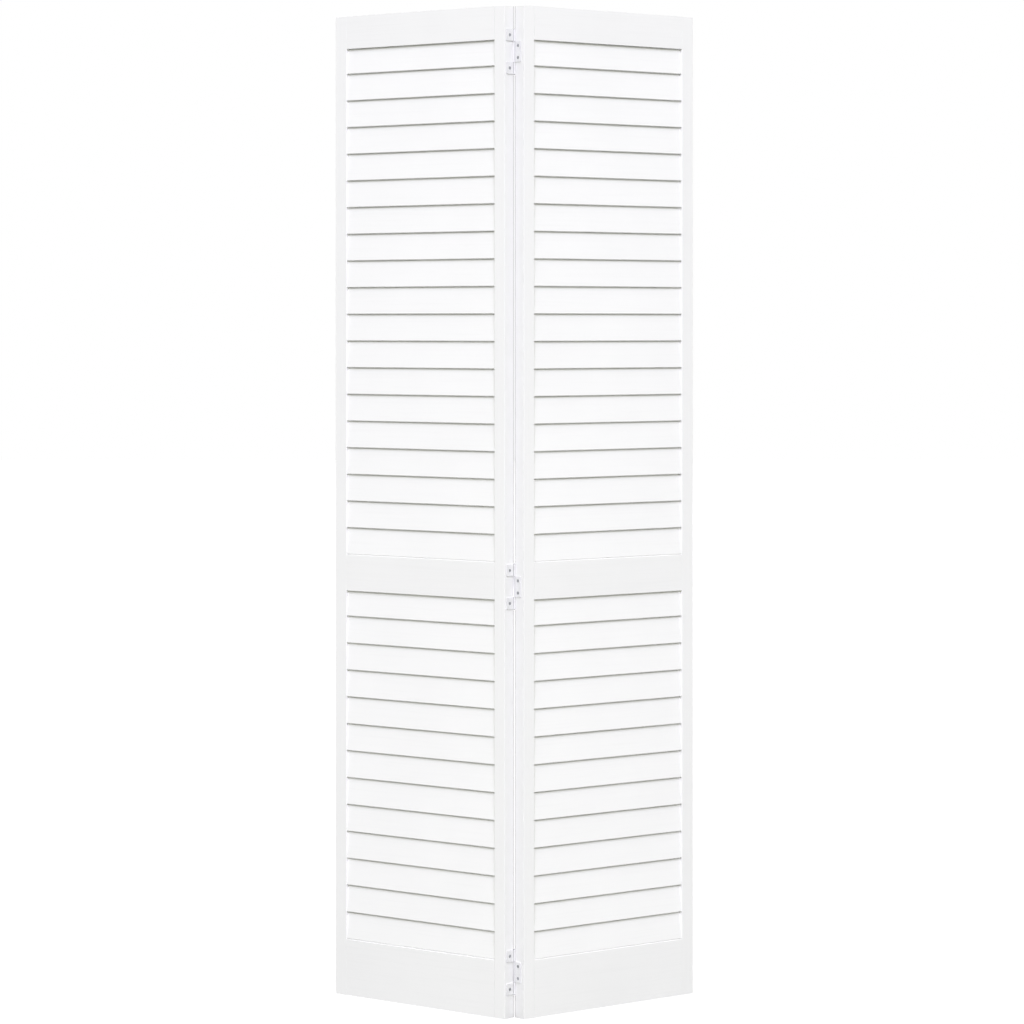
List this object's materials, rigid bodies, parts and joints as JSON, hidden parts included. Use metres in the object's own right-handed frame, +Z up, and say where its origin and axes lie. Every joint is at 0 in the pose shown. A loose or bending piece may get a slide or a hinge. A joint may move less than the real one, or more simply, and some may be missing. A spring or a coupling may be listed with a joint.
{
  "type": "bifold closet door",
  "caption": "Two louvred door panels joined by surface hinges, folding back to back to open a closet; outer stile ends are bored for pivots and a track guide.",
  "frame": {"origin": "middle of the bounding box's bottom face, on the floor, midway between the panels' outer edges and midway between the fold and the outer edges", "axes": "+Z up along the stiles and the hinge pins, +Y from the fold back to the open side of the V, +X from the jamb panel to the lead panel"},
  "size_m": [0.7318, 0.3076, 2],
  "materials": {
    "painted_wood": "white satin paint on wood",
    "painted_slats": "white satin paint on wood",
    "dowel_wood": "bare turned beech",
    "hinge_leaf": "white stove enamel on pressed steel",
    "hinge_pin": "zinc plated",
    "screw_steel": "zinc plated"
  },
  "bodies": {
    "jamb_panel": {"left_jamb_stile": "painted_wood", "left_hinge_stile": "painted_wood", "left_top_rail": "painted_wood", "left_middle_rail": "painted_wood", "left_bottom_rail": "painted_wood", "left_upper_slats": "painted_slats", "left_lower_slats": "painted_slats", "left_top_rail_dowels": "dowel_wood", "left_middle_rail_dowels": "dowel_wood", "left_bottom_rail_dowels": "dowel_wood", "upper_hinge_end_leaves": "hinge_leaf", "upper_hinge_pin": "hinge_pin", "upper_hinge_end_screws": "screw_steel", "middle_hinge_end_leaves": "hinge_leaf", "middle_hinge_pin": "hinge_pin", "middle_hinge_end_screws": "screw_steel", "lower_hinge_end_leaves": "hinge_leaf", "lower_hinge_pin": "hinge_pin", "lower_hinge_end_screws": "screw_steel"},
    "lead_panel": {"right_lead_stile": "painted_wood", "right_hinge_stile": "painted_wood", "right_top_rail": "painted_wood", "right_middle_rail": "painted_wood", "right_bottom_rail": "painted_wood", "right_upper_slats": "painted_slats", "right_lower_slats": "painted_slats", "right_top_rail_dowels": "dowel_wood", "right_middle_rail_dowels": "dowel_wood", "right_bottom_rail_dowels": "dowel_wood", "upper_hinge_centre_leaf": "hinge_leaf", "upper_hinge_centre_screws": "screw_steel", "middle_hinge_centre_leaf": "hinge_leaf", "middle_hinge_centre_screws": "screw_steel", "lower_hinge_centre_leaf": "hinge_leaf", "lower_hinge_centre_screws": "screw_steel"}
  },
  "joints": [
    {"name": "fold", "type": "hinge", "parent": "jamb_panel", "child": "lead_panel", "pos_m": [0, -0.1325, 0], "axis": [0, 0, 1], "range_deg": [-79, 101]}
  ]
}
